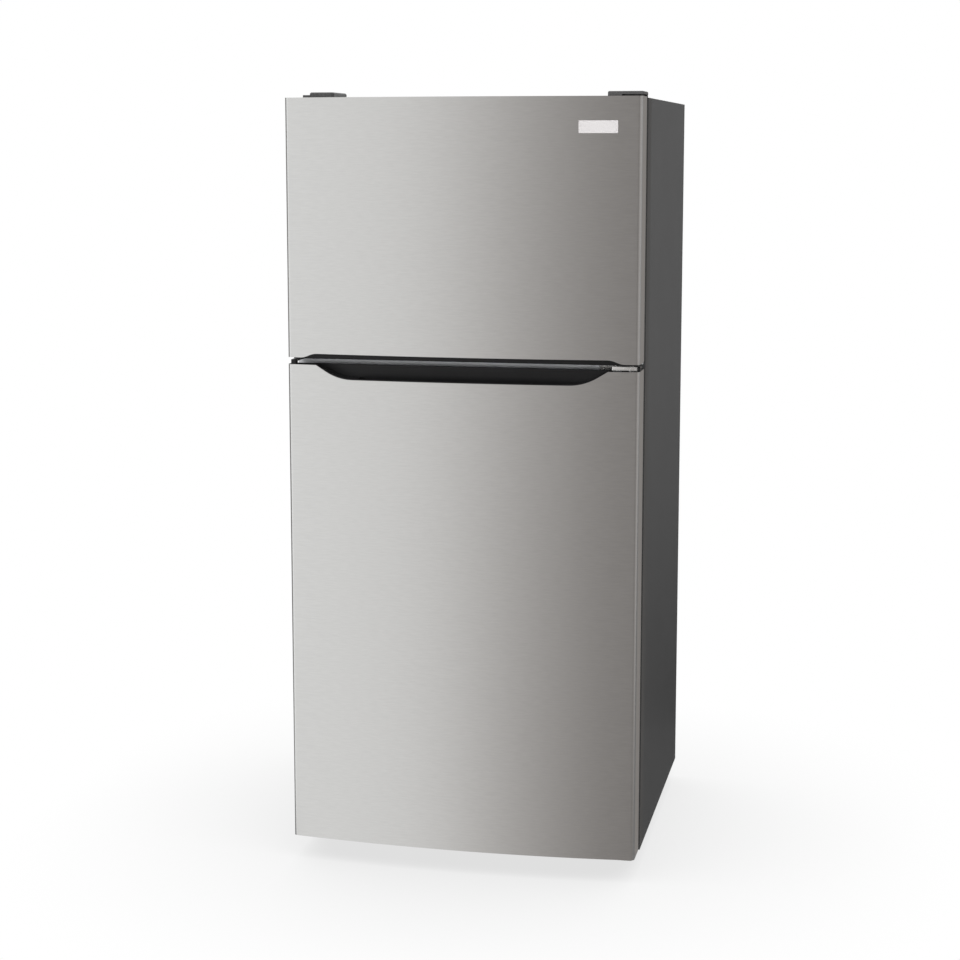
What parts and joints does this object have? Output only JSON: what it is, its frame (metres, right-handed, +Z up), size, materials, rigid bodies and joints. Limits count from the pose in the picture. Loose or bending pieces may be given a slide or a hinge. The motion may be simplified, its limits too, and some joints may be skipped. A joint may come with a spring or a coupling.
{
  "type": "top freezer refrigerator",
  "caption": "Free-standing top freezer refrigerator with bowed brushed steel doors on right-hand hinges, recessed grips, dark painted cabinet, shelves, crisper drawers and cooling unit.",
  "frame": {"origin": "on the floor, under the middle of the overall box", "axes": "+Z up, doors face -Y, +X towards the hinge side"},
  "size_m": [0.762, 0.772, 1.68],
  "materials": {
    "cabinet_paint": "fine textured dark grey",
    "back_paint": "galvanised, matt",
    "frame_paint": "satin silver grey",
    "foam": "foamed",
    "liner_plastic": "satin white",
    "hinge_steel": "zinc plated",
    "cover_plastic": "moulded grain",
    "cap_plastic": "satin black",
    "compressor_paint": "black enamel",
    "rubber": "matt",
    "copper": "bare copper",
    "coil_aluminium": "bare",
    "motor_plastic": "moulded",
    "rack_wire": "white epoxy",
    "lens_plastic": "translucent white",
    "shelf_glass": "tempered, clear",
    "door_steel": "fine horizontal grain",
    "gasket_rubber": "matt grey",
    "bin_plastic": "clear moulded",
    "badge_metal": "satin, blank",
    "dial_plastic": "satin grey"
  },
  "bodies": {
    "cabinet": {"left_side_panel": "cabinet_paint", "right_side_panel": "cabinet_paint", "top_panel": "cabinet_paint", "back_panel": "back_paint", "face_frame": "cabinet_paint", "mullion_rail": "frame_paint", "base_frame": "back_paint", "insulation_foam": "foam", "freezer_liner": "liner_plastic", "fridge_liner": "liner_plastic", "top_hinge_bracket": "hinge_steel", "top_hinge_cover": "cover_plastic", "blank_hinge_cover": "cover_plastic", "centre_hinge_bracket": "hinge_steel", "mullion_end_cover": "cap_plastic", "bottom_hinge_bracket": "hinge_steel", "hinge_screws": "hinge_steel", "roller_axles": "hinge_steel", "compressor": "compressor_paint", "compressor_grommets": "rubber", "condenser_coil": "copper", "fan_motors": "motor_plastic", "drain_pan": "motor_plastic", "machine_cover": "back_paint", "evaporator_coil": "coil_aluminium", "evaporator_cover": "liner_plastic", "freezer_shelf": "rack_wire", "control_housing": "liner_plastic", "lamp_lens": "lens_plastic", "shelf_frames": "liner_plastic", "crisper_shelf_frame": "liner_plastic", "shelf_glass": "shelf_glass"},
    "freezer_door": {"freezer_door_skin": "door_steel", "freezer_door_foam": "foam", "freezer_door_liner": "liner_plastic", "freezer_top_cap": "cap_plastic", "freezer_bottom_cap": "cap_plastic", "freezer_gasket": "gasket_rubber", "freezer_door_bins": "bin_plastic", "badge_plate": "badge_metal"},
    "fridge_door": {"fridge_door_skin": "door_steel", "fridge_door_foam": "foam", "fridge_door_liner": "liner_plastic", "fridge_top_cap": "cap_plastic", "fridge_bottom_cap": "cap_plastic", "fridge_gasket": "gasket_rubber", "fridge_door_bins": "bin_plastic", "dairy_bin": "bin_plastic"},
    "dairy_flap": {"dairy_flap": "bin_plastic"},
    "left_crisper": {"left_crisper": "bin_plastic"},
    "right_crisper": {"right_crisper": "bin_plastic"},
    "fridge_dial": {"fridge_dial": "dial_plastic"},
    "freezer_dial": {"freezer_dial": "dial_plastic"},
    "light_switch": {"light_switch": "lens_plastic"},
    "evaporator_fan": {"evaporator_fan": "motor_plastic"},
    "condenser_fan": {"condenser_fan": "motor_plastic"},
    "left_rear_roller": {"left_rear_roller": "motor_plastic"},
    "right_rear_roller": {"right_rear_roller": "motor_plastic"},
    "left_levelling_foot": {"left_levelling_foot": "rubber"},
    "right_levelling_foot": {"right_levelling_foot": "rubber"}
  },
  "joints": [
    {"name": "freezer_door_hinge", "type": "hinge", "parent": "cabinet", "child": "freezer_door", "pos_m": [0.358, -0.33, 1.39], "axis": [0, 0, 1], "range_deg": [0, 130]},
    {"name": "fridge_door_hinge", "type": "hinge", "parent": "cabinet", "child": "fridge_door", "pos_m": [0.358, -0.33, 0.58], "axis": [0, 0, 1], "range_deg": [0, 130]},
    {"name": "dairy_flap_hinge", "type": "hinge", "parent": "fridge_door", "child": "dairy_flap", "pos_m": [0, -0.285, 0.88], "axis": [1, 0, 0], "range_deg": [0, 80]},
    {"name": "left_crisper_slide", "type": "slide", "parent": "cabinet", "child": "left_crisper", "axis": [0, -1, 0], "range_m": [0, 0.115]},
    {"name": "right_crisper_slide", "type": "slide", "parent": "cabinet", "child": "right_crisper", "axis": [0, -1, 0], "range_m": [0, 0.115]},
    {"name": "fridge_dial_turn", "type": "hinge", "parent": "cabinet", "child": "fridge_dial", "pos_m": [0.095, -0.25, 1.04], "axis": [0, -1, 0], "range_deg": [-135, 135]},
    {"name": "freezer_dial_turn", "type": "hinge", "parent": "cabinet", "child": "freezer_dial", "pos_m": [-0.095, -0.25, 1.04], "axis": [0, -1, 0], "range_deg": [-135, 135]},
    {"name": "light_switch_slide", "type": "slide", "parent": "cabinet", "child": "light_switch", "axis": [0, -1, 0], "range_m": [0, 0.006]},
    {"name": "evaporator_fan_spin", "type": "hinge", "parent": "cabinet", "child": "evaporator_fan", "pos_m": [0, 0.28, 1.45], "axis": [0, -1, 0], "continuous": true},
    {"name": "condenser_fan_spin", "type": "hinge", "parent": "cabinet", "child": "condenser_fan", "pos_m": [-0.044, 0.285, 0.165], "axis": [-1, 0, 0], "continuous": true},
    {"name": "left_roller_spin", "type": "hinge", "parent": "cabinet", "child": "left_rear_roller", "pos_m": [-0.335, 0.325, 0.02], "axis": [1, 0, 0], "continuous": true},
    {"name": "right_roller_spin", "type": "hinge", "parent": "cabinet", "child": "right_rear_roller", "pos_m": [0.335, 0.325, 0.02], "axis": [1, 0, 0], "continuous": true},
    {"name": "left_foot_turn", "type": "hinge", "parent": "cabinet", "child": "left_levelling_foot", "pos_m": [-0.33, -0.195, 0.03], "axis": [0, 0, 1], "continuous": true},
    {"name": "right_foot_turn", "type": "hinge", "parent": "cabinet", "child": "right_levelling_foot", "pos_m": [0.33, -0.195, 0.03], "axis": [0, 0, 1], "continuous": true}
  ],
  "couplings": [
    {"joint": "light_switch_slide", "follows": "fridge_door_hinge", "m_per_rad": 0.002644}
  ]
}
